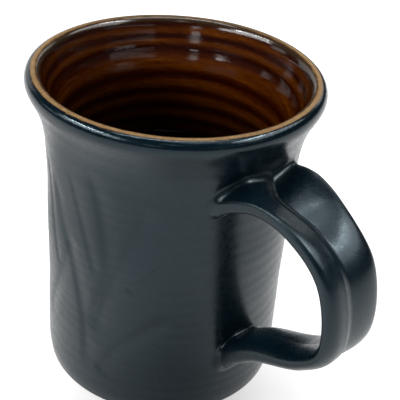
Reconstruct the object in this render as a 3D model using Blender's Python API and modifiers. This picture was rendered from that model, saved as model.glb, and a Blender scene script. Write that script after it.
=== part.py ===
"""Wheel-thrown stoneware mug with a pulled strap handle and a two-glaze finish.

The mug stands on the plane z = 0, on the centre of its base, with the handle towards +X.
Every layer is its own piece: the fired clay, the liner glaze, the outer glaze and the bare
break of glaze on the rim.  Lengths are in metres.
"""

import math

import bmesh
import bpy

# Driving dimensions
HEIGHT = 0.108
RIM_DIAMETER = 0.0928
BODY_DIAMETER = 0.080
WALL = 0.0045
FLOOR = 0.0060
BASE_BEVEL = 0.0006
GLAZE = 0.0005
GAP = 0.0003
GLAZE_LINE = 0.0012
FOOT_TAPER = 0.0008
RIM_BAND_WIDTH = 0.0016
HANDLE_REACH = 0.0845
HANDLE_TOP = 0.0870
HANDLE_DROP = 0.0700
HANDLE_LEAN = 0.0025
HANDLE_GROOVE = 0.0018
HANDLE_EDGE = 0.0035
HANDLE_ROOT = 0.0060
JOINT_FILLET = 0.0036

# Dimensions that follow from them
BODY_RADIUS = BODY_DIAMETER / 2
RIM_RADIUS = RIM_DIAMETER / 2
LIP = 0.0034
LIP_REACH = 0.0024
LIP_UNDERCUT = 0.0010
CREST_RADIUS = RIM_RADIUS - LIP_REACH
BORE_RADIUS = BODY_RADIUS - WALL
CLAY_INSET = GLAZE + GAP
RIM_BAND_ANGLE = math.degrees(RIM_BAND_WIDTH / 2 / LIP_REACH)
GAP_ANGLE = math.degrees(GAP / LIP_REACH)

# Neck below the lip, as (distance beyond the body, distance below the rim)
NECK_FLARE = ((0.0031, 0.0068), (0.0012, 0.0175), (0.0005, 0.0240))

# Bore, as (distance beyond the bore's radius, share of the height)
BORE_FLARE = ((0.0, 0.45), (0.0003, 0.76), (0.0014, 0.86), (0.0036, 0.93))
FLOOR_CORNER = 0.0090
FLOOR_DISH = 0.0001
BORE_DRAFT = 0.0004

# Fineness of the faceted solids
TURN_STEPS = 32
CURVE_STEPS = 2
STRAP_STEPS = 26
SECTION_POINTS = 16
LEAST_STEP = 0.004
ROUTE_STEP = 0.01
MERGE_DISTANCE = 0.00001
SMOOTH_ANGLE = math.radians(40)

COLOURS = {
    "fired_clay": ((0.36, 0.27, 0.19), 0.85),
    "slate_glaze": ((0.035, 0.045, 0.050), 0.42),
    "amber_glaze": ((0.050, 0.018, 0.006), 0.16),
    "rim_break": ((0.33, 0.22, 0.10), 0.40),
}


# ---------------------------------------------------------------- scene and small helpers


def clear_scene():
    """Remove every object that the file opens with."""
    for item in list(bpy.data.objects):
        bpy.data.objects.remove(item, do_unlink=True)


def new_collection(name):
    """Make a collection below the scene's own."""
    made = bpy.data.collections.new(name)
    bpy.context.scene.collection.children.link(made)
    return made


def material(name, finish):
    """A Principled material of one of the finishes in COLOURS."""
    colour, roughness = COLOURS[finish]
    made = bpy.data.materials.new(name)
    made.use_nodes = True
    shader = made.node_tree.nodes["Principled BSDF"]
    shader.inputs["Base Color"].default_value = (*colour, 1.0)
    shader.inputs["Roughness"].default_value = roughness
    shader.inputs["Metallic"].default_value = 0.0
    return made


def add_object(name, mesh, collection, finish=None):
    """Link a mesh as an object, shaded smooth, with its own material."""
    made = bpy.data.objects.new(name, mesh)
    collection.objects.link(made)
    mesh.shade_smooth()
    mesh.set_sharp_from_angle(angle=SMOOTH_ANGLE)
    if finish:
        mesh.materials.append(material(name, finish))
    return made


def hide_as_cutter(item):
    """Keep a cutter out of the finished object."""
    item.hide_render = True
    item.display_type = "WIRE"


def cut(item, cutter):
    """Take the cutter's shape away from a piece."""
    step = item.modifiers.new("cut_" + cutter.name, "BOOLEAN")
    step.operation = "DIFFERENCE"
    step.solver = "EXACT"
    step.object = cutter


def curve_point(points, place):
    """Point of the Catmull-Rom curve through hand-set points, at a place between 0 and 1."""
    spans = len(points) - 1
    span = min(int(place * spans), spans - 1)
    t = place * spans - span
    near = [points[max(span - 1, 0)], points[span], points[span + 1], points[min(span + 2, spans)]]
    weights = (
        -0.5 * t + t * t - 0.5 * t**3,
        1.0 - 2.5 * t * t + 1.5 * t**3,
        0.5 * t + 2.0 * t * t - 1.5 * t**3,
        -0.5 * t * t + 0.5 * t**3,
    )
    return tuple(sum(w * point[axis] for w, point in zip(weights, near)) for axis in (0, 1))


def curve_through(points, steps):
    """The same curve as a list of points, with so many steps between each pair."""
    count = steps * (len(points) - 1)
    return [curve_point(points, i / count) for i in range(count + 1)]


def inset(outline, distance):
    """Shift an open outline to its right-hand side, which for a downward run is the axis side."""
    shifted = []
    for i, (x, z) in enumerate(outline):
        ahead = outline[min(i + 1, len(outline) - 1)]
        behind = outline[max(i - 1, 0)]
        dx = ahead[0] - behind[0]
        dz = ahead[1] - behind[1]
        length = math.hypot(dx, dz)
        shifted.append((x + distance * dz / length, z - distance * dx / length))
    return shifted


def blend(stops, place):
    """Value at a place between 0 and 1, eased between (place, value) stops."""
    for (left, low), (right, high) in zip(stops, stops[1:]):
        if place <= right:
            t = (place - left) / (right - left)
            return low + (high - low) * t * t * (3 - 2 * t)
    return stops[-1][1]


# ---------------------------------------------------------------- turned pieces


def turned(name, outline, collection, finish=None, ring=False):
    """Turn an outline of (radius, height) points about the mug's axis."""
    mesh = bpy.data.meshes.new(name)
    corners = [(radius, 0.0, height) for radius, height in outline]
    edges = [(i, i + 1) for i in range(len(corners) - 1)]
    if ring:
        edges.append((len(corners) - 1, 0))
    mesh.from_pydata(corners, edges, [])
    made = add_object(name, mesh, collection, finish)
    screw = made.modifiers.new("turn", "SCREW")
    screw.axis = "Z"
    screw.steps = TURN_STEPS
    screw.render_steps = TURN_STEPS
    screw.use_merge_vertices = True
    screw.merge_threshold = MERGE_DISTANCE
    screw.use_smooth_shade = True
    return made


def lip_arc(first, last, steps):
    """Points over the rounded lip between two angles, where 90 degrees is the crest."""
    points = []
    for step in range(steps + 1):
        turn = math.radians(first + (last - first) * step / steps)
        points.append((CREST_RADIUS + LIP_REACH * math.cos(turn), HEIGHT - LIP + LIP * math.sin(turn)))
    return points


def outside_outline():
    """Outer face of the glazed mug, from the rim band over the lip and down to the glaze line."""
    lip = lip_arc(90 - RIM_BAND_ANGLE - GAP_ANGLE, 0, 3)
    undercut = [(RIM_RADIUS - LIP_UNDERCUT, HEIGHT - 1.5 * LIP)]
    neck = [(BODY_RADIUS + out, HEIGHT - down) for out, down in NECK_FLARE]
    wall = [
        (BODY_RADIUS, HEIGHT / 2),
        (BODY_RADIUS, HEIGHT / 10),
        (BODY_RADIUS - 0.75 * FOOT_TAPER, GLAZE_LINE),
    ]
    return lip + curve_through(undercut + neck + wall, CURVE_STEPS)


def band_outline():
    """Crest of the lip, where the glaze breaks to a tan line."""
    return lip_arc(90 + RIM_BAND_ANGLE, 90 - RIM_BAND_ANGLE, 4)


def inside_outline():
    """Inner face of the glazed mug from the centre of the floor up to the lip."""
    points = [(0.0, FLOOR), (BORE_RADIUS / 2, FLOOR + FLOOR_DISH)]
    for degrees in (0, 22.5, 45, 67.5, 90):
        turn = math.radians(degrees)
        across = BORE_RADIUS - BORE_DRAFT - FLOOR_CORNER * (1 - math.sin(turn))
        points.append((across, FLOOR + FLOOR_CORNER * (1 - math.cos(turn))))
    flare = [(BORE_RADIUS + out, share * HEIGHT) for out, share in BORE_FLARE]
    lip = lip_arc(175, 90 + RIM_BAND_ANGLE + GAP_ANGLE, 3)
    return points + curve_through(flare, CURVE_STEPS) + lip


def stoneware_body(collection):
    """Fired clay: floor, wall and lip, inset below both glazes and bare at the base."""
    bevelled_base = [
        (BODY_RADIUS - CLAY_INSET - FOOT_TAPER, BASE_BEVEL),
        (BODY_RADIUS - CLAY_INSET - FOOT_TAPER - BASE_BEVEL, 0.0),
        (0.0, 0.0),
    ]
    whole = inside_outline() + band_outline() + outside_outline()
    clay = inset(whole, CLAY_INSET)
    clay[0] = (0.0, clay[0][1])
    return turned("stoneware_body", clay + bevelled_base, collection, "fired_clay")


def skin(name, face, collection, finish):
    """Glaze coat of even thickness that lies just off the clay along one face."""
    back = inset(face, GLAZE)
    from_axis = face[0][0] == 0.0
    if from_axis:
        back[0] = (0.0, back[0][1])
    return turned(name, face + back[::-1], collection, finish, ring=not from_axis)


# ---------------------------------------------------------------- handle

# Half width and thickness of the strap at places along its route: wide and flat where it is
# luted on below the rim, narrower and fuller towards its foot.  The groove fades at both ends.
STRAP_HALF_WIDTH = (
    (0.0, 0.0172), (0.14, 0.0168), (0.35, 0.0113),
    (0.55, 0.0104), (0.8, 0.0080), (1.0, 0.0100),
)
STRAP_THICKNESS = (
    (0.0, 0.0095), (0.12, 0.0062), (0.35, 0.0056),
    (0.6, 0.0070), (0.85, 0.0083), (1.0, 0.0095),
)
GROOVE_SHARE = ((0.0, 0.25), (0.12, 1.0), (0.6, 1.0), (0.85, 0.6), (1.0, 0.1))
GROOVE_WIDTH = 0.32
SECTION_POWER = 2.5

# Centre line of the strap outside the wall, as (share of its throw, distance below its top)
STRAP_BEND = ((0.52, 0.0005), (0.90, 0.0119), (1.0, 0.0280), (0.77, 0.0427), (0.18, 0.0574))
ROOT_START = 0.0010
ROOT_DIP = 0.0045

# Places along the route where each collar ends
UPPER_COLLAR_END = 0.175
LOWER_COLLAR_END = 0.880
SLEEVE_GAP = 0.002


def strap_route():
    """Centre line of the handle as (reach, height), from inside the upper wall to the lower."""
    inside_wall = BODY_RADIUS - HANDLE_ROOT
    throw = HANDLE_REACH - HANDLE_EDGE - BODY_RADIUS
    start = [(inside_wall, HANDLE_TOP - ROOT_DIP), (BODY_RADIUS + ROOT_START, HANDLE_TOP)]
    bend = [(BODY_RADIUS + share * throw, HANDLE_TOP - down) for share, down in STRAP_BEND]
    return start + bend + [(inside_wall, HANDLE_TOP - HANDLE_DROP)]


def fillet_spread(reach, fillet):
    """How far a hollow fillet at the wall spreads a point at this reach from the axis."""
    if not fillet:
        return 0.0
    clear = min(max(reach - BODY_RADIUS, 0.0), fillet)
    return (fillet - clear) ** 2 / fillet


def strap_ring(place, grow, fillet):
    """One grooved oval section across the strap, enlarged by grow and by a fillet at the wall."""
    route = strap_route()
    centre = curve_point(route, place)
    behind = curve_point(route, max(place - ROUTE_STEP, 0.0))
    ahead = curve_point(route, min(place + ROUTE_STEP, 1.0))
    run = math.hypot(ahead[0] - behind[0], ahead[1] - behind[1])
    out = ((behind[1] - ahead[1]) / run, (ahead[0] - behind[0]) / run)
    lean = blend(((0.0, 0.0), (0.5, 0.0), (1.0, HANDLE_LEAN)), place)
    half_width = blend(STRAP_HALF_WIDTH, place)
    half_thickness = blend(STRAP_THICKNESS, place) / 2
    groove = HANDLE_GROOVE * blend(GROOVE_SHARE, place)
    ring = []
    for step in range(SECTION_POINTS):
        turn = 2 * math.pi * step / SECTION_POINTS
        cosine = math.cos(turn)
        sine = math.sin(turn)
        across = math.copysign(abs(cosine) ** (2 / SECTION_POWER), cosine)
        raised = math.copysign(abs(sine) ** (2 / SECTION_POWER), sine)
        dip = groove * math.exp(-((across / GROOVE_WIDTH) ** 2)) if sine > 0 else 0.0
        reach = math.hypot(centre[0] + half_thickness * raised * out[0], half_width * across + lean)
        spread = grow + fillet_spread(reach, fillet)
        side = lean + (half_width + spread) * across
        rise = (half_thickness + spread) * raised - dip
        ring.append((centre[0] + rise * out[0], side, centre[1] + rise * out[1]))
    return ring


def strap_rings(grow, first=0.0, last=1.0, fillet=0.0):
    """Sections from one place to another, close together at the joints and wider apart between."""
    spaced = [(1 - math.cos(math.pi * i / STRAP_STEPS)) / 2 for i in range(STRAP_STEPS + 1)]
    inner = [place for place in spaced if first + LEAST_STEP < place < last - LEAST_STEP]
    return [strap_ring(place, grow, fillet) for place in [first, *inner, last]]


def loft(name, rings, collection, finish=None):
    """Closed solid through rings of points, which no primitive or modifier makes."""
    shape = bmesh.new()
    rows = [[shape.verts.new(point) for point in ring] for ring in rings]
    for lower, upper in zip(rows, rows[1:]):
        for i in range(len(lower)):
            j = (i + 1) % len(lower)
            shape.faces.new((lower[i], lower[j], upper[j], upper[i]))
    shape.faces.new(rows[0][::-1])
    shape.faces.new(rows[-1])
    bmesh.ops.recalc_face_normals(shape, faces=shape.faces)
    mesh = bpy.data.meshes.new(name)
    shape.to_mesh(mesh)
    shape.free()
    return add_object(name, mesh, collection, finish)


def wall_clearance(cutters):
    """Solid that fills the mug out to where the handle's clay may start."""
    face = inset(outside_outline(), GLAZE)
    closed = [(0.0, HEIGHT)] + face + [(face[-1][0], 0.0), (0.0, 0.0)]
    made = turned("wall_clearance", closed, cutters)
    hide_as_cutter(made)
    return made


def handle_pieces(parts, cutters):
    """Strap, its glaze sleeve and the two luted collars; returns the holes that these need."""
    wall = wall_clearance(cutters)
    room = loft("strap_clearance", strap_rings(-GLAZE), cutters)
    hide_as_cutter(room)

    strap = loft("handle_strap", strap_rings(-CLAY_INSET), parts, "fired_clay")
    cut(strap, wall)

    sleeve_ends = (UPPER_COLLAR_END + SLEEVE_GAP, LOWER_COLLAR_END - SLEEVE_GAP)
    sleeve = loft("handle_glaze", strap_rings(0.0, *sleeve_ends), parts, "slate_glaze")
    cut(sleeve, room)

    holes = []
    for name, ends in (("upper", (0.0, UPPER_COLLAR_END)), ("lower", (LOWER_COLLAR_END, 1.0))):
        rings = strap_rings(0.0, *ends, JOINT_FILLET)
        collar = loft(name + "_joint_collar", rings, parts, "slate_glaze")
        cut(collar, room)
        cut(collar, wall)
        hole = loft(name + "_joint_hole", strap_rings(2 * GAP, *ends, JOINT_FILLET), cutters)
        hide_as_cutter(hole)
        holes.append(hole)
    return holes


# ---------------------------------------------------------------- the mug


def build():
    """Make the mug."""
    clear_scene()
    parts = new_collection("stoneware_mug")
    cutters = new_collection("cutters")

    stoneware_body(parts)
    skin("interior_glaze", inside_outline(), parts, "amber_glaze")
    skin("rim_band", band_outline(), parts, "rim_break")
    outer = skin("exterior_glaze", outside_outline(), parts, "slate_glaze")
    for hole in handle_pieces(parts, cutters):
        cut(outer, hole)


build()
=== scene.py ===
"""Looks of the wheel-thrown stoneware mug: satin slate glaze outside, glossy amber liner,
a tan break of glaze on the rim and a pulled strap handle, on a pale floor in soft light."""

import math

import bpy
import numpy as np
from mathutils import Matrix, Vector


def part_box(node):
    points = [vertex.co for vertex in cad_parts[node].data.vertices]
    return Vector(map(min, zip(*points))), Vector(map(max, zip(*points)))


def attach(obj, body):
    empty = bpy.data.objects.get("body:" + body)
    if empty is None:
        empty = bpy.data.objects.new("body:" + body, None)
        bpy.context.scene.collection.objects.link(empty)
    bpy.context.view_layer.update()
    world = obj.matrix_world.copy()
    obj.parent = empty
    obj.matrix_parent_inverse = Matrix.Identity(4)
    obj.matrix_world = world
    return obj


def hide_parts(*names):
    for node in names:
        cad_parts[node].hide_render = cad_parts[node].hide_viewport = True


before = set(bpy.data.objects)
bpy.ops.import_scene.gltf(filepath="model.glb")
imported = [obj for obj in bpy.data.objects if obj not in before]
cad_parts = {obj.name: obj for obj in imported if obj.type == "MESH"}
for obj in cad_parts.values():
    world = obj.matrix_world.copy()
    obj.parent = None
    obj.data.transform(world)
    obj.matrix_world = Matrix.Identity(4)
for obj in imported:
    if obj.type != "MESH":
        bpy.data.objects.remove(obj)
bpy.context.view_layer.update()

# ------------------------------------------------------------------ sizes, all from the CAD

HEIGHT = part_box("rim_band")[1].z
MM = HEIGHT / 108.0
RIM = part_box("exterior_glaze")[1].x
LIP_OVERHANG = 6.4 * MM
BODY = RIM - LIP_OVERHANG
COAT = 0.5 * MM
BAND_HALF_WIDTH = 0.65 * MM
FACING = math.radians(40.1)

# Fineness of the meshes
ROUND_STEPS = 400
SECTION_STEPS = 160
PROFILE_STEPS = 2400


# ------------------------------------------------------------------ number helpers


def spline(points, place):
    """Catmull-Rom curve through points, at places from 0 to 1."""
    points = np.asarray(points, float)
    spans = len(points) - 1
    along = np.clip(place, 0.0, 1.0) * spans
    span = np.minimum(along.astype(int), spans - 1)
    t = (along - span)[..., None]
    before = points[np.maximum(span - 1, 0)]
    start = points[span]
    end = points[span + 1]
    after = points[np.minimum(span + 2, spans)]
    return (
        start
        + 0.5 * t * (end - before)
        + t * t * (before - 2.5 * start + 2.0 * end - 0.5 * after)
        + t * t * t * (1.5 * (start - end) + 0.5 * (after - before))
    )


def eased(stops, place):
    """Value at each place, eased between (place, value) stops."""
    places, values = np.array(stops).T
    index = np.clip(np.searchsorted(places, place, side="right") - 1, 0, len(places) - 2)
    t = np.clip((place - places[index]) / (places[index + 1] - places[index]), 0.0, 1.0)
    t = t * t * (3.0 - 2.0 * t)
    return values[index] + (values[index + 1] - values[index]) * t


def flowing(stops, place):
    """Value at each place on a smooth curve through (place, value) stops."""
    places, values = np.array(stops, float).T
    slopes = np.gradient(values, places)
    slopes[0] = slopes[-1] = 0.0
    index = np.clip(np.searchsorted(places, place, side="right") - 1, 0, len(places) - 2)
    span = places[index + 1] - places[index]
    t = np.clip((place - places[index]) / span, 0.0, 1.0)
    start = (1 + 2 * t) * (1 - t) ** 2 * values[index] + t * (1 - t) ** 2 * span * slopes[index]
    end = t * t * (3 - 2 * t) * values[index + 1] + t * t * (t - 1) * span * slopes[index + 1]
    return start + end


def bell(distance, width):
    """Smooth bump of height 1 and about this half width."""
    return np.exp(-((distance / width) ** 2))


def wander(turn, height, waves_round, waves_up, seed, count=9):
    """Smooth variation that closes around the mug, about -1 to 1."""
    draw = np.random.default_rng(seed)
    total = np.zeros(np.broadcast(turn, height).shape)
    for _ in range(count):
        each_round = draw.integers(-waves_round, waves_round + 1)
        each_up = draw.normal() * waves_up * 2.0 * math.pi / HEIGHT
        total += np.sin(each_round * turn + each_up * height + draw.uniform(0.0, 2.0 * math.pi))
    return total * math.sqrt(2.0 / count) / 2.0


# ------------------------------------------------------------------ mesh helpers


def grid_normals(points):
    """Unit normals of a grid that closes along its columns."""
    down = np.gradient(points, axis=0)
    across = np.roll(points, -1, axis=1) - np.roll(points, 1, axis=1)
    normals = np.cross(down, across)
    length = np.linalg.norm(normals, axis=2, keepdims=True)
    return normals / np.maximum(length, 1e-12)


def ring_quads(rows, columns, start=0):
    """Faces of a grid of vertices that closes along its columns."""
    row, column = np.meshgrid(np.arange(rows - 1), np.arange(columns), indexing="ij")
    ahead = (column + 1) % columns
    this_row, next_row = row * columns, (row + 1) * columns
    corners = (this_row + column, next_row + column, next_row + ahead, this_row + ahead)
    return np.stack(corners, axis=-1).reshape(-1, 4) + start


def make_piece(name, points, normals, quads, marks, finish):
    """A smooth-shaded mesh object with its own vertex normals and painted marks."""
    mesh = bpy.data.meshes.new(name)
    mesh.from_pydata(points.tolist(), [], quads)
    mesh.validate()
    mesh.shade_smooth()
    for mark, values in marks.items():
        layer = mesh.attributes.new(mark, "FLOAT", "POINT")
        layer.data.foreach_set("value", np.asarray(values, np.float32).ravel())
    mesh.normals_split_custom_set_from_vertices(normals.tolist())
    mesh.materials.append(finish)
    made = bpy.data.objects.new(name, mesh)
    bpy.context.scene.collection.objects.link(made)
    return made


def coat_piece(name, points, normals, marks, finish, thickness=COAT, back_rows=14):
    """A closed skin of even thickness below a grid of outer points."""
    rows, columns = points.shape[:2]
    kept = np.unique(np.linspace(0, rows - 1, back_rows).round().astype(int))
    back = points[kept] - thickness * normals[kept]
    front_count = rows * columns
    quads = [ring_quads(rows, columns), ring_quads(len(kept), columns, front_count)[:, ::-1]]
    column = np.arange(columns)
    ahead = (column + 1) % columns
    first = front_count
    last = front_count + (len(kept) - 1) * columns
    quads.append(np.stack([column, ahead, first + ahead, first + column], axis=1))
    end = (rows - 1) * columns
    quads.append(np.stack([end + column, last + column, last + ahead, end + ahead], axis=1))
    all_points = np.concatenate([points.reshape(-1, 3), back.reshape(-1, 3)])
    all_normals = np.concatenate([normals.reshape(-1, 3), -normals[kept].reshape(-1, 3)])
    all_marks = {mark: np.concatenate([v.reshape(-1), v[kept].reshape(-1)]) for mark, v in marks.items()}
    return make_piece(name, all_points, all_normals, np.concatenate(quads).tolist(), all_marks, finish)


# ------------------------------------------------------------------ the turned wall

# Outer and inner faces of the wall, as (radius, height) in mm; both end on the lip's crest
OUTSIDE = (
    (44.1, 108.0), (45.3, 107.75), (46.25, 106.95), (46.8, 105.7), (46.8, 104.3), (46.35, 102.9),
    (45.5, 101.2), (44.4, 99.0), (43.4, 96.4), (42.3, 93.0), (41.5, 88.8), (41.0, 84.0),
    (40.45, 72.0), (40.6, 60.0), (40.45, 48.0), (40.3, 36.0), (40.45, 26.0), (40.6, 16.0), (40.65, 9.0),
    (40.55, 4.5), (40.1, 1.0),
)
INSIDE = (
    (0.02, 6.2), (12.0, 6.25), (22.0, 6.4), (27.5, 7.2), (31.8, 9.6), (34.2, 13.6), (35.0, 19.0),
    (35.3, 30.0), (35.5, 48.0), (35.6, 66.0), (35.7, 80.0), (36.0, 88.0), (37.3, 93.8), (39.0, 98.4),
    (40.1, 101.8), (40.9, 104.0), (41.5, 105.7), (42.2, 107.0), (43.0, 107.75), (44.1, 108.0),
)
# Heights in mm of the grooves between the throwing rings
RINGS = (12, 18.5, 25, 31, 37, 43, 49, 54.5, 60, 65.8, 71.5, 77.3, 83.0, 89.0, 98.4, 102.4, 106.4)


def dense_profile():
    """The mug's section from the middle of its floor, up, over the lip and down outside."""
    inner = spline(INSIDE, np.linspace(0, 1, PROFILE_STEPS))
    outer = spline(OUTSIDE, np.linspace(0, 1, PROFILE_STEPS))
    return np.concatenate([inner, outer[1:]]) * MM


SECTION = dense_profile()
RUN = np.concatenate([[0.0], np.cumsum(np.linalg.norm(np.diff(SECTION, axis=0), axis=1))])
CREST_AT = RUN[PROFILE_STEPS - 1]
WALL_PART = SECTION[:, 0].argmax()


def wall_radius(height):
    """Radius of the outer face at a height."""
    outside = SECTION[WALL_PART:]
    return np.interp(height, outside[::-1, 1], outside[::-1, 0])


# Strokes of the low relief: points as (turn from the camera side in degrees, height in mm),
# depth, then the widths of the steep left and the gentle right flank in mm
STROKES = (
    (((-61, 80), (-57, 70), (-50, 60), (-44, 49), (-40, 37), (-37.5, 26), (-37.5, 13)), 0.44, 1.7, 3.6),
    (
        ((-34, 90), (-29.5, 77), (-26.5, 64), (-25.5, 56), (-28.5, 47), (-32.5, 38), (-35.5, 30)),
        0.48, 1.8, 3.8,
    ),
    (((-7, 82), (-11, 75), (-13.7, 68), (-20, 57), (-24.5, 48), (-29, 37), (-33, 25)), 0.52, 1.8, 4.0),
    (((-46, 62), (-53, 48.5), (-61.7, 35), (-71.2, 22)), 0.38, 1.6, 3.2),
    (((-30, 13.5), (-26, 18), (-19, 27), (-8, 35), (4, 42)), 0.44, 1.7, 3.4),
    (((-16.5, 50.5), (-8, 56), (0.4, 63)), 0.30, 1.0, 2.0),
    (((-70, 84), (-66, 70), (-62, 58), (-58, 46)), 0.22, 1.0, 2.4),
    (((-47, 86), (-42, 74), (-36, 62), (-32, 52)), 0.22, 1.0, 2.4),
)


def stroke_depth(turn, height, path, depth, steep, gentle):
    """Depth of one knife stroke: steep on its left, gentle on its right, fading at both ends."""
    path = np.array(path, float)
    fine = spline(path, np.linspace(0, 1, 40))
    line_x = np.radians(fine[:, 0]) * BODY
    line_z = fine[:, 1] * MM
    x = turn * BODY
    best = np.full(x.shape, 1e9)
    side = np.zeros(x.shape)
    place = np.zeros(x.shape)
    for i in range(len(fine) - 1):
        step_x = line_x[i + 1] - line_x[i]
        step_z = line_z[i + 1] - line_z[i]
        size = step_x * step_x + step_z * step_z
        t = np.clip(((x - line_x[i]) * step_x + (height - line_z[i]) * step_z) / size, 0.0, 1.0)
        off_x = x - line_x[i] - t * step_x
        off_z = height - line_z[i] - t * step_z
        gap = np.hypot(off_x, off_z)
        nearer = gap < best
        best = np.where(nearer, gap, best)
        side = np.where(nearer, off_x - 0.4 * off_z, side)
        place = np.where(nearer, (i + t) / (len(fine) - 1), place)
    width = np.where(side < 0, steep, gentle) * MM
    fade = np.clip(place / 0.12, 0, 1) * np.clip((1 - place) / 0.12, 0, 1)
    return depth * MM * fade * np.exp(-((best / width) ** 2))


def wrapped(turn):
    """The same angle between minus and plus half a turn."""
    return (turn + math.pi) % (2 * math.pi) - math.pi


def outer_relief(turn, height):
    """How far the outer face stands out of the plain turned shape."""
    view = wrapped(turn + FACING)
    relief = np.zeros(turn.shape)
    for path, depth, steep, gentle in STROKES:
        relief -= stroke_depth(view, height, path, depth, steep, gentle)
    wall = eased(((4 * MM, 0.0), (12 * MM, 1.0), (90 * MM, 1.0), (100 * MM, 0.0)), height)
    rings = np.sin(2 * math.pi * height / (4.3 * MM) + turn + 2.2 * wander(turn, height, 2, 3, 4))
    strength = 0.014 + 0.010 * wander(turn, height, 3, 3, 5) + 0.016 * bell(wrapped(turn - 0.5), 1.3)
    uneven = 0.045 * wander(turn, height, 6, 4, 6) + 0.012 * wander(turn, height, 22, 16, 7, 30)
    relief += wall * MM * (strength * rings + uneven)
    return relief


def inner_relief(turn, height):
    """Throwing rings of the inside, as (displacement, share of a ridge from 0 to 1)."""
    wall = eased(((9 * MM, 0.0), (16 * MM, 1.0), (99 * MM, 1.0), (103 * MM, 0.0)), height)
    drift = 0.55 * wander(turn, height, 2, 2, 11) + 0.22 * wander(turn, height, 5, 6, 14)
    phase = np.interp(height / MM + drift, RINGS, np.arange(len(RINGS)))
    ridge = (0.5 - 0.5 * np.cos(2 * math.pi * phase)) ** 0.55
    depth = eased(((60 * MM, 0.30), (94 * MM, 0.16), (HEIGHT, 0.16)), height)
    fine = 0.04 * wander(turn, height, 9, 9, 12) + 0.006 * wander(turn, height, 3, 40, 16, 16)
    return wall * MM * (depth * ridge + fine), ridge


def liner_painted_light(turn, height):
    """Painted light on the liner, 0 for full painted shade: it falls from the rim towards the floor, starts
    lower around 125 degrees from the camera side, and stays at most 0.3 away from 165 degrees.
    """
    right = bell(wrapped(turn + FACING - math.radians(125)), 1.15)
    level = height / MM + 7 * right + 1.2 * wander(turn, height, 3, 3, 15)
    down = eased(((52, 0.0), (62, 0.03), (72, 0.10), (82, 0.34), (89, 0.72), (96, 1.0)), level)
    side = bell(wrapped(turn + FACING - math.radians(165)), 1.35)
    return down * (0.30 + 0.70 * side)


def wall_stations():
    """Distances along the section at which the grid has its rows."""
    total = RUN[-1]
    stops = [0.0]
    while stops[-1] < total:
        here = stops[-1]
        from_crest = abs(here - CREST_AT)
        step = 0.22 if from_crest < 7.5 * MM else 0.5 if from_crest < 12 * MM else 0.62
        if here < 34 * MM:
            step = 1.2
        if total - here < 5 * MM:
            step = 0.35
        stops.append(here + step * MM)
    stops[-1] = total
    return np.array(stops)


def turned_wall():
    """Grids of points, normals and marks for the whole glazed surface."""
    stations = wall_stations()
    turn = np.linspace(0, 2 * math.pi, ROUND_STEPS, endpoint=False)[None, :]
    band_edge = 0.09 * MM * wander(turn, 0 * turn, 30, 0, 21, 24)
    near_band = bell(stations[:, None] - CREST_AT, 2.4 * MM)
    place = stations[:, None] + band_edge * near_band
    radius = np.interp(place, RUN, SECTION[:, 0])
    height = np.interp(place, RUN, SECTION[:, 1])
    turn = np.broadcast_to(turn, radius.shape)
    outside = place > CREST_AT
    flat = np.stack([radius * np.cos(turn), radius * np.sin(turn), height], axis=2)
    normals = grid_normals(flat)
    normals[0] = (0, 0, 1)
    inner, ridge = inner_relief(turn, height)
    rise = np.where(outside, outer_relief(turn, height), inner)
    points = flat + rise[..., None] * normals
    lip = bell(place - CREST_AT, 9 * MM)
    back = bell(wrapped(turn + FACING - math.radians(158)), 0.5)
    points[..., 2] += MM * lip * (0.16 * np.sin(2 * turn + 0.6) + 0.05 * np.sin(5 * turn) + 0.35 * back)
    points[..., :2] *= (1 + 0.0016 * np.sin(2 * turn + 2.1) * eased(((0, 0), (HEIGHT, 1)), height))[..., None]
    normals = grid_normals(points)
    normals[0] = (0, 0, 1)
    marks = {
        "ridge": np.where(outside, 0.0, ridge),
        # Painted light and shade of the liner, used to darken the amber glaze
        "amber_lightness": liner_painted_light(turn, height),
        "lip": bell(place - CREST_AT, 4.2 * MM),
        "crest": (place - CREST_AT) / MM,
        "far": 0.5 - 0.5 * np.cos(np.clip((np.abs(wrapped(turn + FACING)) - 1.9) / 0.9, 0, 1) * math.pi),
    }
    return stations, points, normals, marks


# ------------------------------------------------------------------ the handle

# Centre line of the handle as (reach, height) in mm, from inside the upper wall to the lower.
# The tables below give a value in mm at places from 0 to 1 along it.
ROUTE = (
    (34.0, 83.5), (41.5, 87.0), (60.5, 86.0), (76.0, 76.5), (80.0, 55.5), (70.5, 43.0), (51.0, 32.5),
    (34.0, 17.0),
)
# How far the strap reaches to each side of its centre line
NEAR_WIDTH = (
    (0.0, 15.6), (0.14, 15.4), (0.18, 14.2), (0.21, 13.2), (0.28, 12.0), (0.34, 11.2), (0.43, 10.0),
    (0.55, 9.0), (0.8, 8.1), (1.0, 8.7),
)
FAR_WIDTH = (
    (0.0, 16.5), (0.14, 16.2), (0.18, 15.6), (0.21, 14.8), (0.25, 13.6), (0.28, 12.7), (0.34, 11.7),
    (0.43, 11.6), (0.55, 12.0), (0.64, 11.7), (0.8, 8.2), (1.0, 11.6),
)
THICKNESS = (
    (0.0, 8.0), (0.14, 6.6), (0.2, 5.6), (0.28, 5.6), (0.34, 6.2), (0.45, 6.4), (0.6, 6.1), (0.85, 7.9),
    (1.0, 9.5),
)
# How far each edge is raised
NEAR_LIFT = (
    (0.0, -2.8), (0.14, -2.4), (0.18, -0.4), (0.21, 1.0), (0.28, 2.1), (0.34, 1.7), (0.43, 0.4), (0.52, 0.0),
    (1.0, 0.0),
)
FAR_LIFT = (
    (0.0, -0.2), (0.14, 0.3), (0.18, 1.6), (0.21, 2.3), (0.25, 2.1), (0.3, 1.5), (0.36, 0.6), (0.43, 0.0),
    (1.0, 0.0),
)
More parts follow.
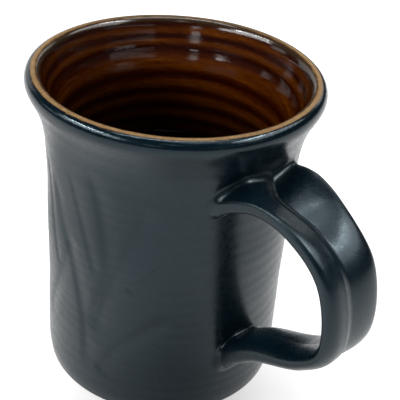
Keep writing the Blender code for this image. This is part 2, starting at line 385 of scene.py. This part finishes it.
# Sideways shift of the crease between the two lobes
CREASE = (
    (0.0, 3.0), (0.14, 1.5), (0.165, 0.5), (0.19, -1.8), (0.215, -3.6), (0.25, -4.0), (0.3, -3.1),
    (0.36, -2.7), (0.43, -2.2), (0.5, -1.7), (0.7, -0.8), (0.9, -2.2), (1.0, -2.2),
)
# Depth of the hollow along the crease, of the step down to the far lobe, and height of the near lobe
HOLLOW = (
    (0.0, 0.5), (0.14, 0.4), (0.2, 0.3), (0.25, 0.4), (0.3, 0.6), (0.36, 0.7), (0.6, 0.6), (0.85, 0.5),
    (1.0, 0.2),
)
STEP = (
    (0.0, 0.2), (0.14, 1.0), (0.18, 2.0), (0.25, 2.2), (0.36, 1.2), (0.5, 0.55), (0.6, 0.5), (0.75, 0.45),
    (0.88, 0.2), (1.0, 0.0),
)
CROWN = (
    (0.0, 2.0), (0.14, 2.0), (0.17, 1.4), (0.21, 0.3), (0.25, 0.1), (0.32, 0.1), (0.45, 0.15), (0.6, 0.3),
    (0.8, 0.3), (1.0, 0.0),
)
# How square the section's near and far sides are: 2 is an ellipse
BOXY = ((0.0, 3.6), (0.2, 4.0), (0.3, 3.4), (0.4, 2.7), (1.0, 2.4))
FAR_BOXY = ((0.0, 3.4), (0.2, 4.2), (0.5, 4.2), (0.7, 2.8), (1.0, 2.4))

# Fillets where the handle meets the wall, on top and underneath, in mm
UPPER_FILLET = (2.8, 1.0)
LOWER_FILLET = (2.2, 1.6)

# Places along the route between which each end leaves the wall, and how finely they are searched
UPPER_REACH = 0.30
LOWER_REACH = 0.72
END_STEPS = 700
MIDDLE_STEPS = 190

# Rows of free strap that each joint piece takes in beyond its fillet
JOINT_ROWS = 12


def strap_angles():
    """Angles around the strap's flattened section that give evenly spaced points."""
    turn = np.linspace(0, -2 * math.pi, 8001)
    across = np.sign(np.cos(turn)) * np.abs(np.cos(turn)) ** 0.8
    raised = np.sign(np.sin(turn)) * np.abs(np.sin(turn)) ** 0.8
    run = np.concatenate([[0.0], np.cumsum(np.hypot(11.0 * np.diff(across), 3.5 * np.diff(raised)))])
    stations = np.linspace(0, run[-1], SECTION_STEPS, endpoint=False)
    return np.interp(stations, run, turn)


SECTION_ANGLES = strap_angles()


def strap(place):
    """Points of the strap for a grid of places along it, one column per section point."""
    route = np.array(ROUTE) * MM
    centre = spline(route, place)
    step = 0.006
    run = spline(route, np.minimum(place + step, 1)) - spline(route, np.maximum(place - step, 0))
    run /= np.linalg.norm(run, axis=-1, keepdims=True)
    cosine = np.cos(SECTION_ANGLES)
    sine = np.sin(SECTION_ANGLES)
    power = 2.0 / np.where(cosine < 0, flowing(BOXY, place), flowing(FAR_BOXY, place))
    across = np.sign(cosine) * np.abs(cosine) ** power
    raised = np.sign(sine) * np.abs(sine) ** power
    top = sine > 0
    near = across < 0
    half_width = np.where(near, flowing(NEAR_WIDTH, place), flowing(FAR_WIDTH, place))
    shift = top * flowing(CREASE, place) * (1 - across ** 2)
    drop = eased(((-0.03, 0.0), (0.09, 1.0)), across)
    dip = flowing(HOLLOW, place) * np.exp(-np.abs(across / np.where(near, 0.5, 0.6)) ** 1.6)
    dip = dip + flowing(STEP, place) * drop * np.exp(-np.abs(across / 0.6) ** 1.8)
    dip = dip - flowing(CROWN, place) * bell(across + 0.5, 0.36)
    near_lift = flowing(NEAR_LIFT, place) * np.abs(across) ** 1.4
    far_lift = flowing(FAR_LIFT, place) * np.abs(across) ** 0.9
    lift = np.where(near, near_lift, far_lift)
    side = (half_width * across + shift) * MM
    rise = (flowing(THICKNESS, place) / 2 * raised - top * dip + lift) * MM
    return np.stack([centre[..., 0] - rise * run[..., 1], side, centre[..., 1] + rise * run[..., 0]], axis=-1)


def wall_clearance(points):
    """Distance from the wall's outer face, measured level."""
    return np.hypot(points[..., 0], points[..., 1]) - wall_radius(points[..., 2])


def crossing(table, clear, wanted):
    """For each column, the place where the strap clears the wall by the wanted distance."""
    return np.array([
        [np.interp(wanted[row, column], clear[:, column], table) for column in range(clear.shape[1])]
        for row in range(len(wanted))
    ])


def fillet_rows(places, clear_wanted, spread):
    """Rows of a hollow fillet: strap points pushed out along the wall where they come close to it."""
    points = strap(places)
    middle = points.mean(axis=1, keepdims=True)
    radial = points * (1, 1, 0)
    radial /= np.linalg.norm(radial, axis=-1, keepdims=True)
    away = points - middle
    across = np.roll(points, -1, axis=1) - np.roll(points, 1, axis=1)
    push = np.cross(across, radial)
    push /= np.maximum(np.linalg.norm(push, axis=-1, keepdims=True), 1e-12)
    flip = np.sign((push * away).sum(axis=-1, keepdims=True))
    push *= flip
    moved = points + push * spread[..., None]
    wanted = wall_radius(moved[..., 2]) + clear_wanted
    level = np.hypot(moved[..., 0], moved[..., 1])
    moved[..., :2] *= (wanted / level)[..., None]
    return moved


def end_rows(places, top_fillet, under_fillet):
    """Rows of one end of the handle, from inside the wall to the free strap, and their last places."""
    upper = 0.5 + 0.5 * np.tanh(2.0 * (np.sin(SECTION_ANGLES) + 0.15))
    fillet = (under_fillet + (top_fillet - under_fillet) * upper)[None, :] * MM
    turn = np.radians(np.linspace(0, 90, 15))[:, None]
    sunk = np.broadcast_to(np.array([[-1.0], [-0.4]]) * MM, (2, SECTION_STEPS))
    clear_wanted = np.concatenate([sunk, fillet * (1 - np.cos(turn))])
    spread = np.concatenate([fillet, fillet, fillet * (1 - np.sin(turn))])
    clear = wall_clearance(strap(np.repeat(places[:, None], SECTION_STEPS, axis=1)))
    clear = np.maximum.accumulate(clear, axis=0) + np.arange(len(places))[:, None] * 1e-9
    found = crossing(places, clear, clear_wanted)
    return fillet_rows(found, clear_wanted, spread), found[-1]


def handle_grid():
    """Points of the whole handle from inside the upper wall to inside the lower, and row counts."""
    upper_rows, upper_end = end_rows(np.linspace(0.0, UPPER_REACH, END_STEPS), *UPPER_FILLET)
    lower_rows, lower_end = end_rows(np.linspace(1.0, LOWER_REACH, END_STEPS), *LOWER_FILLET)
    share = np.linspace(0, 1, MIDDLE_STEPS)[1:-1, None]
    middle = strap(upper_end + (lower_end - upper_end) * share)
    return np.concatenate([upper_rows, middle, lower_rows[::-1]]), len(upper_rows)


# ------------------------------------------------------------------ materials

# Pools of painted shadow in the floor: darker patches that stand in for the mug's soft shadow,
# for the glaze to reflect as shade: azimuth from the camera side, distance, size, how much darker
FLOOR_SHADOW_POOLS = ((16, 0.058, 0.070, 0.52), (-112, 0.122, 0.086, 0.50), (58, 0.52, 0.40, 0.16))
FLOOR_ALBEDO = 0.5
FLOOR_GLOW = 0.68
FLOOR_REACH = 3.0
FLOOR_LEVEL = -0.0002


def new_material(name):
    """Empty node material with a Principled shader; returns (material, tree, shader)."""
    made = bpy.data.materials.new(name)
    made.use_nodes = True
    return made, made.node_tree, made.node_tree.nodes["Principled BSDF"]


def node(tree, kind, values=(), **settings):
    """Add a node, set its properties and its unlinked inputs."""
    made = tree.nodes.new("ShaderNode" + kind)
    for key, value in settings.items():
        setattr(made, key, value)
    for key, value in dict(values).items():
        if isinstance(value, bpy.types.NodeSocket):
            tree.links.new(value, made.inputs[key])
        else:
            made.inputs[key].default_value = value
    return made


def ramp(tree, factor, stops):
    """Eased colour ramp over (place, colour) stops."""
    made = node(tree, "ValToRGB", {"Fac": factor})
    made.color_ramp.interpolation = "EASE"
    band = made.color_ramp.elements
    while len(band) < len(stops):
        band.new(0.5)
    for spot, (place, colour) in zip(band, stops):
        spot.position = place
        spot.color = (*colour, 1)
    return made.outputs["Color"]


def remap(tree, value, low, high, to_low, to_high):
    """Linear map of a value from one range to another, held at the ends."""
    return node(
        tree, "MapRange",
        {"Value": value, "From Min": low, "From Max": high, "To Min": to_low, "To Max": to_high},
    ).outputs["Result"]


def noise(tree, place, scale, detail=3.0, rough=0.5, distortion=0.0):
    """Noise from about 0 to 1 over the object."""
    return node(
        tree, "TexNoise",
        {"Vector": place, "Scale": scale, "Detail": detail, "Roughness": rough, "Distortion": distortion},
    ).outputs["Fac"]


def maths(tree, operation, a, b=0.0, clamp=False):
    """Result of one sum on two values."""
    return node(tree, "Math", {0: a, 1: b}, operation=operation, use_clamp=clamp).outputs[0]


def mixed(tree, share, a, b):
    """Colour a where the share is 0 and b where it is 1."""
    made = tree.nodes.new("ShaderNodeMix")
    made.data_type = "RGBA"
    for key, value in ((0, share), (6, a), (7, b)):
        if isinstance(value, bpy.types.NodeSocket):
            tree.links.new(value, made.inputs[key])
        else:
            made.inputs[key].default_value = value if key == 0 else (*value, 1)
    return made.outputs[2]


def mark(tree, name):
    """Value that the mesh carries under this name."""
    return node(tree, "Attribute", attribute_name=name).outputs["Fac"]


def bump(tree, height, distance, strength):
    """Normal that the height noise tilts."""
    values = {"Height": height, "Distance": distance, "Strength": strength}
    return node(tree, "Bump", values).outputs["Normal"]


def slate_glaze(name, has_marks):
    """Satin blue-black glaze: cloudy sheen, fine orange-peel skin, specks and a glossier lip."""
    made, tree, shader = new_material(name)
    place = node(tree, "TexCoord").outputs["Object"]
    cloud = noise(tree, place, 70.0, 4.0, 0.6)
    mottle = noise(tree, place, 620.0, 3.0, 0.6)
    fine = noise(tree, place, 1900.0, 2.0, 0.5)
    colour = ramp(tree, cloud, ((0.3, (0.0005, 0.0036, 0.0062)), (0.7, (0.0011, 0.0064, 0.0102))))
    speck = node(tree, "TexVoronoi", {"Vector": place, "Scale": 700.0}, feature="F1").outputs["Distance"]
    dust = remap(tree, speck, 0.06, 0.12, 1.0, 0.0)
    rare = maths(tree, "GREATER_THAN", noise(tree, place, 160.0, 2.0), 0.60)
    specks = maths(tree, "MULTIPLY", maths(tree, "MULTIPLY", dust, rare), 0.35)
    colour = mixed(tree, specks, colour, (0.05, 0.055, 0.05))
    rough = remap(tree, mottle, 0.3, 0.7, 0.24, 0.33)
    rough = maths(tree, "ADD", rough, remap(tree, cloud, 0.3, 0.7, -0.02, 0.03))
    grain = remap(tree, mark(tree, "lip"), 0.2, 0.9, 0.5, 1.2) if has_marks else 0.5
    height = maths(tree, "ADD", mottle, maths(tree, "MULTIPLY", fine, grain))
    if has_marks:
        lip = mark(tree, "lip")
        rough = maths(tree, "SUBTRACT", rough, maths(tree, "MULTIPLY", lip, 0.18))
        break_noise = maths(tree, "ADD", mark(tree, "crest"), remap(tree, mottle, 0.3, 0.7, -0.35, 0.35))
        edge = remap(tree, break_noise, 0.60, 1.10, 1.0, 0.0)
        colour = mixed(tree, edge, colour, (0.13, 0.065, 0.022))
    tree.links.new(colour, shader.inputs["Base Color"])
    tree.links.new(rough, shader.inputs["Roughness"])
    strength = remap(tree, mark(tree, "lip"), 0.2, 0.9, 0.6, 1.1) if has_marks else 0.6
    tree.links.new(bump(tree, height, 0.00003, strength), shader.inputs["Normal"])
    shader.inputs["Specular IOR Level"].default_value = 0.38
    shader.inputs["Specular Tint"].default_value = (0.70, 0.89, 0.98, 1.0)
    return made


def amber_glaze():
    """Glossy honey glaze: clear amber where it thins over the throwing rings, near black under painted shade
    deep inside and away from the back.
    """
    made, tree, shader = new_material("amber_glaze")
    place = node(tree, "TexCoord").outputs["Object"]
    ridge = mark(tree, "ridge")
    crest = mark(tree, "crest")
    streaks = node(tree, "Mapping", {"Vector": place, "Scale": (1.0, 1.0, 9.0)}).outputs[0]
    cloud = noise(tree, streaks, 48.0, 5.0, 0.7, 0.8)
    fine = noise(tree, streaks, 320.0, 3.0, 0.6)
    amber_lightness = maths(tree, "ADD", maths(tree, "MULTIPLY", ridge, 0.80), remap(tree, cloud, 0.3, 0.7, -0.30, 0.20))
    amber_lightness = maths(tree, "ADD", amber_lightness, remap(tree, fine, 0.3, 0.7, -0.12, 0.12), clamp=True)
    colour = ramp(tree, amber_lightness, (
        (0.0, (0.015, 0.0016, 0.0002)), (0.35, (0.029, 0.0043, 0.0003)),
        (0.7, (0.064, 0.0137, 0.0005)), (1.0, (0.120, 0.0320, 0.0010)),
    ))
    # Painted shade: the liner is mixed towards near black where its painted light is low.
    colour = mixed(tree, mark(tree, "amber_lightness"), (0.0012, 0.0005, 0.0003), colour)
    ragged = maths(tree, "ADD", crest, remap(tree, fine, 0.3, 0.7, -0.4, 0.4))
    near_lip = remap(tree, ragged, -3.2, -2.0, 0.0, 1.0)
    colour = mixed(tree, near_lip, colour, (0.026, 0.014, 0.006))
    ragged = maths(tree, "ADD", crest, remap(tree, fine, 0.3, 0.7, -0.35, 0.35))
    edge = remap(tree, ragged, -1.05, -0.6, 0.0, 1.0)
    colour = mixed(tree, edge, colour, (0.14, 0.075, 0.030))
    tree.links.new(colour, shader.inputs["Base Color"])
    rough = remap(tree, crest, -4.0, -1.0, 0.07, 0.17)
    tree.links.new(rough, shader.inputs["Roughness"])
    tree.links.new(bump(tree, cloud, 0.00010, 0.5), shader.inputs["Normal"])
    shader.inputs["Specular IOR Level"].default_value = 0.5
    return made


def rim_break():
    """Thin satin tan where both glazes run off the crest, mottled brown at its edges."""
    made, tree, shader = new_material("rim_break")
    place = node(tree, "TexCoord").outputs["Object"]
    mottle = noise(tree, place, 700.0, 4.0, 0.6)
    cloud = noise(tree, place, 55.0, 3.0)
    colour = ramp(tree, mottle, ((0.25, (0.140, 0.078, 0.027)), (0.75, (0.250, 0.155, 0.062))))
    crest = maths(tree, "ABSOLUTE", mark(tree, "crest"))
    ragged = maths(tree, "ADD", crest, remap(tree, mottle, 0.3, 0.7, -0.3, 0.3))
    edge = remap(tree, ragged, 0.45, 1.0, 0.0, 1.0)
    colour = mixed(tree, edge, colour, (0.12, 0.060, 0.022))
    far = mark(tree, "far")
    dim = maths(tree, "MULTIPLY", far, remap(tree, cloud, 0.3, 0.7, 0.55, 1.0), clamp=True)
    colour = mixed(tree, dim, colour, (0.045, 0.032, 0.018))
    tree.links.new(colour, shader.inputs["Base Color"])
    tree.links.new(remap(tree, mottle, 0.3, 0.7, 0.34, 0.48), shader.inputs["Roughness"])
    tree.links.new(bump(tree, mottle, 0.00004, 0.6), shader.inputs["Normal"])
    return made


def fired_clay():
    """Bare toasted stoneware with grog and fine pits."""
    made, tree, shader = new_material("fired_clay")
    place = node(tree, "TexCoord").outputs["Object"]
    cloud = noise(tree, place, 45.0, 4.0, 0.6)
    grit = noise(tree, place, 1500.0, 3.0, 0.6)
    colour = ramp(tree, cloud, ((0.3, (0.27, 0.185, 0.12)), (0.7, (0.42, 0.31, 0.215))))
    speck = node(tree, "TexVoronoi", {"Vector": place, "Scale": 520.0}, feature="F1").outputs["Distance"]
    dark = maths(tree, "MULTIPLY", remap(tree, speck, 0.10, 0.2, 1.0, 0.0), 0.7)
    colour = mixed(tree, dark, colour, (0.06, 0.04, 0.03))
    tree.links.new(colour, shader.inputs["Base Color"])
    tree.links.new(remap(tree, grit, 0.3, 0.7, 0.75, 0.92), shader.inputs["Roughness"])
    tree.links.new(bump(tree, grit, 0.00008, 0.7), shader.inputs["Normal"])
    return made


def pale_floor():
    """Matt white floor that glows a little, with soft pools of painted shadow for the glaze to reflect."""
    made, tree, shader = new_material("floor")
    place = node(tree, "NewGeometry").outputs["Position"]
    level = 1.0
    # Each pool is painted shadow: the floor's colour and glow fall off towards the pool's centre.
    for azimuth, distance, size, darker in FLOOR_SHADOW_POOLS:
        turn = math.radians(azimuth) - FACING
        centre = (distance * math.cos(turn), distance * math.sin(turn), 0.0)
        away = node(tree, "VectorMath", {0: place, 1: centre}, operation="DISTANCE").outputs["Value"]
        share = node(
            tree, "MapRange",
            {"Value": away, "From Min": 0.0, "From Max": size, "To Min": 1 - darker, "To Max": 1.0},
            interpolation_type="SMOOTHSTEP",
        ).outputs["Result"]
        level = maths(tree, "MULTIPLY", level, share)
    tree.links.new(maths(tree, "MULTIPLY", level, FLOOR_ALBEDO), shader.inputs["Base Color"])
    tree.links.new(maths(tree, "MULTIPLY", level, FLOOR_GLOW), shader.inputs["Emission Strength"])
    shader.inputs["Emission Color"].default_value = (1, 1, 1, 1)
    shader.inputs["Roughness"].default_value = 0.9
    shader.inputs["Specular IOR Level"].default_value = 0.0
    return made


slate = slate_glaze("slate_glaze", True)
handle_slate = slate_glaze("handle_slate_glaze", False)
amber = amber_glaze()
tan = rim_break()
clay = fired_clay()


# ------------------------------------------------------------------ building the pieces

stations, points, normals, marks = turned_wall()
band_from = int(np.searchsorted(stations, CREST_AT - BAND_HALF_WIDTH))
band_to = int(np.searchsorted(stations, CREST_AT + BAND_HALF_WIDTH))
coat_to = len(stations) - 1


def wall_coat(name, first, last, finish, replaced):
    """A glaze coat between two rows of the wall's grid."""
    rows = slice(first, last + 1)
    made = coat_piece(name, points[rows], normals[rows], {k: v[rows] for k, v in marks.items()}, finish)
    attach(made, "root")
    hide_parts(*replaced)
    return made


wall_coat("amber_liner", 0, band_from, amber, ["interior_glaze"])
wall_coat("rim_break_line", band_from, band_to, tan, ["rim_band"])
wall_coat("slate_coat", band_to, coat_to, slate, ["exterior_glaze"])

handle, fillet_count = handle_grid()
handle_normals = grid_normals(handle)


def handle_piece(name, first, last, replaced, finish):
    """A closed length of the handle between two rows of its grid."""
    part = handle[first:last + 1]
    part_normals = handle_normals[first:last + 1]
    rows = len(part)
    columns = SECTION_STEPS
    quads = ring_quads(rows, columns).tolist()
    half = columns // 2
    for start, order in ((0, 1), ((rows - 1) * columns, -1)):
        for i in range(half):
            a, b = i, i + 1
            c, d = (columns - i - 1) % columns, (columns - i) % columns
            corners = list(dict.fromkeys([start + a, start + b, start + c, start + d]))
            quads.append(corners[::order])
    made = make_piece(name, part.reshape(-1, 3), part_normals.reshape(-1, 3), quads, {}, finish)
    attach(made, "root")
    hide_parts(*replaced)
    return made


upper_end = fillet_count + JOINT_ROWS
lower_end = len(handle) - fillet_count - JOINT_ROWS
handle_piece("upper_joint", 0, upper_end, ["upper_joint_collar"], handle_slate)
handle_piece(
    "handle_skin", upper_end, lower_end, ["handle_glaze", "handle_strap"], handle_slate
)
handle_piece("lower_joint", lower_end, len(handle) - 1, ["lower_joint_collar"], handle_slate)


# Turned foot and underside, from the wall inwards, as (radius, height) in mm
FOOT = (
    (39.4, 0.55), (39.0, 0.16), (38.2, 0.0), (35.0, 0.0), (31.4, 0.0), (30.6, 0.1), (29.6, 0.55),
    (28.4, 0.75), (22.0, 0.8), (11.0, 0.8), (0.02, 0.8),
)
FOOT_ROWS = 150
CLAY_ROWS = 170
CLAY_GAP = 0.03 * MM
TRIM_PITCH = 1.8 * MM
TRIM_DEPTH = 0.05 * MM


def clay_body():
    """The fired clay inside the coats, with its trimmed bare foot."""
    kept = np.unique(np.linspace(0, len(stations) - 1, CLAY_ROWS).round().astype(int))
    inside = points[kept] - (COAT + CLAY_GAP) * normals[kept]
    foot = spline(FOOT, np.linspace(0, 1, FOOT_ROWS)) * MM
    turn = np.linspace(0, 2 * math.pi, ROUND_STEPS, endpoint=False)
    radius = np.broadcast_to(foot[:, :1], (FOOT_ROWS, ROUND_STEPS))
    spiral = np.sin(2 * math.pi * radius / TRIM_PITCH + turn)
    trimmed = eased(((0.0, 0.0), (4 * MM, 1.0), (27 * MM, 1.0), (29 * MM, 0.0)), radius)
    height = foot[:, 1:] + TRIM_DEPTH * trimmed * spiral
    under = np.stack([radius * np.cos(turn), radius * np.sin(turn), height], axis=2)
    grid = np.concatenate([inside, under])
    rows = len(grid)
    quads = ring_quads(rows, ROUND_STEPS).tolist()
    last = (rows - 1) * ROUND_STEPS
    quads.append(list(range(ROUND_STEPS)))
    quads.append(list(range(last + ROUND_STEPS - 1, last - 1, -1)))
    grid_directions = grid_normals(grid)
    grid_directions[0] = (0, 0, 1)
    grid_directions[-1] = (0, 0, -1)
    made = make_piece("clay_body", grid.reshape(-1, 3), grid_directions.reshape(-1, 3), quads, {}, clay)
    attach(made, "root")
    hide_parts("stoneware_body")


clay_body()


# ------------------------------------------------------------------ floor, light and camera


# The camera: angles in radians, then its distance from the axis and its height
PITCH, YAW, ROLL = 0.5713, 0.0412, 0.0878
CAMERA_OUT, CAMERA_UP = 251.95 * MM, 222.6 * MM
LENS = 79.8
SENSOR_WIDTH = 36.0


def camera_place():
    """Matrix of the camera that looks at the mug from above its handle side."""
    pitch, yaw, roll = PITCH, YAW, ROLL
    forward = Vector((math.sin(yaw) * math.cos(pitch), math.cos(yaw) * math.cos(pitch), -math.sin(pitch)))
    right = Vector((math.cos(yaw), -math.sin(yaw), 0))
    above = right.cross(forward)
    rolled = math.cos(roll) * right + math.sin(roll) * above
    rolled_up = math.cos(roll) * above - math.sin(roll) * right
    turn = Matrix.Rotation(math.pi / 2 - FACING, 4, "Z")
    place = turn @ Matrix((rolled, rolled_up, -forward)).transposed().to_4x4()
    place.translation = turn @ Vector((0, -CAMERA_OUT, CAMERA_UP))
    return place


camera = bpy.data.cameras.new("camera")
camera.lens = LENS
camera.sensor_width = SENSOR_WIDTH
camera_object = bpy.data.objects.new("camera", camera)
bpy.context.scene.collection.objects.link(camera_object)
camera_object.matrix_world = camera_place()
bpy.context.scene.camera = camera_object

floor_mesh = bpy.data.meshes.new("floor")
corners = [(x * FLOOR_REACH, y * FLOOR_REACH, FLOOR_LEVEL) for x, y in ((-1, -1), (1, -1), (1, 1), (-1, 1))]
floor_mesh.from_pydata(corners, [], [(0, 1, 2, 3)])
floor = bpy.data.objects.new("floor", floor_mesh)
bpy.context.scene.collection.objects.link(floor)
floor_finish = pale_floor()
floor_mesh.materials.append(floor_finish)


LAMP_DISTANCE = 1.2
LAMP_AIM = 0.8 * HEIGHT


def lamp(name, azimuth, elevation, size, radiance):
    """Area light at an azimuth to the right of the camera and an elevation, aimed high on the mug."""
    light = bpy.data.lights.new(name, "AREA")
    light.shape = "RECTANGLE"
    light.size, light.size_y = size
    light.energy = radiance * math.pi * size[0] * size[1]
    made = bpy.data.objects.new(name, light)
    bpy.context.scene.collection.objects.link(made)
    turn = math.radians(azimuth) - FACING
    level = LAMP_DISTANCE * math.cos(math.radians(elevation))
    rise = LAMP_DISTANCE * math.sin(math.radians(elevation))
    away = Vector((level * math.cos(turn), level * math.sin(turn), rise))
    made.location = away + Vector((0, 0, LAMP_AIM))
    made.visible_camera = False
    made.rotation_euler = (-away).to_track_quat("-Z", "Y").to_euler()


lamp("softbox_right", 90, 46, (1.10, 0.46), 4.3)
lamp("softbox_left", -64, 31, (1.0, 0.22), 9.5)
lamp("glint_right", 86, 57, (0.50, 0.05), 62.0)
lamp("glint_left", -76, 42, (0.62, 0.05), 75.0)
lamp("softbox_front", -2, 49, (0.15, 0.06), 8.0)
lamp("overhead", 150, 84, (0.9, 0.7), 1.8)
lamp("overhead_strip", -150, 80, (0.9, 0.10), 14.0)
lamp("window_right", 47, 22, (0.95, 0.13), 0.6)
lamp("window_left", -15, 21, (0.15, 0.16), 2.6)
lamp("side_panel", -98, 17, (0.34, 0.18), 1.5)
lamp("backdrop_left", -148, 12, (1.0, 0.5), 0.9)
lamp("backdrop_right", 154, 24, (0.7, 0.25), 1.5)

world = bpy.data.worlds.new("studio")
bpy.context.scene.world = world
world.use_nodes = True
world.node_tree.nodes["Background"].inputs["Color"].default_value = (0.95, 0.98, 1, 1)
world.node_tree.nodes["Background"].inputs["Strength"].default_value = 0.05

bpy.context.scene.view_settings.view_transform = "Standard"
